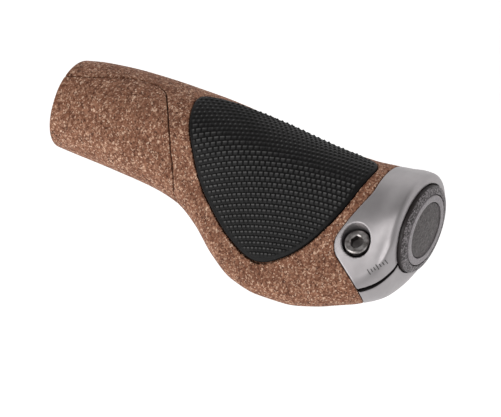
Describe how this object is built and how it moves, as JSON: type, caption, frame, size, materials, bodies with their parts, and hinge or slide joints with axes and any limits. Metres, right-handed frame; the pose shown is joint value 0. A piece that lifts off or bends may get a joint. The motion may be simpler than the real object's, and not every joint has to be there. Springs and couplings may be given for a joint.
{
  "type": "handlebar grip",
  "caption": "Ergonomic right-hand lock-on handlebar grip with a palm wing, rubber pad, bolted end clamp and end plug.",
  "frame": {"origin": "on the handlebar's axis, at the grip's inboard end face", "axes": "+X outboard along the bar; +Z along the clamp bolt, square to the clamp's slit; -Y to the rear, the rider's side, where the palm wing is"},
  "size_m": [0.1353, 0.0586, 0.0355],
  "materials": {
    "cork": "granular cork and rubber composite, matte",
    "pad_rubber": "soft rubber with rows of small raised nubs",
    "nylon": "moulded glass-filled nylon",
    "clamp_aluminium": "bead-blasted, satin anodised",
    "bolt_steel": "plain steel, slightly worn",
    "plug_plastic": "speckled charcoal plastic",
    "badge_silver": "satin silver print",
    "badge_grey": "mottled dark grey"
  },
  "bodies": {
    "grip": {"core_frame": "nylon", "cork_body": "cork", "thumb_panel": "cork", "palm_pad": "pad_rubber", "clamp": "clamp_aluminium", "clamp_nut": "bolt_steel"},
    "washer": {"bolt_washer": "bolt_steel"},
    "bolt": {"clamp_bolt": "bolt_steel"},
    "plug": {"plug_body": "plug_plastic", "badge_ring": "badge_silver", "badge_disc": "badge_grey"}
  },
  "joints": [
    {"name": "bolt_travel", "type": "slide", "parent": "grip", "child": "washer", "axis": [0, 0, 1], "range_m": [0, 0.0064]},
    {"name": "bolt_turn", "type": "hinge", "parent": "washer", "child": "bolt", "pos_m": [0.1202, -0.0159, 0], "axis": [0, 0, 1], "range_deg": [0, 2880]},
    {"name": "plug_pull", "type": "slide", "parent": "grip", "child": "plug", "axis": [1, 0, 0], "range_m": [0, 0.018]}
  ],
  "couplings": [
    {"joint": "bolt_turn", "follows": "bolt_travel", "rad_per_m": 7854}
  ]
}
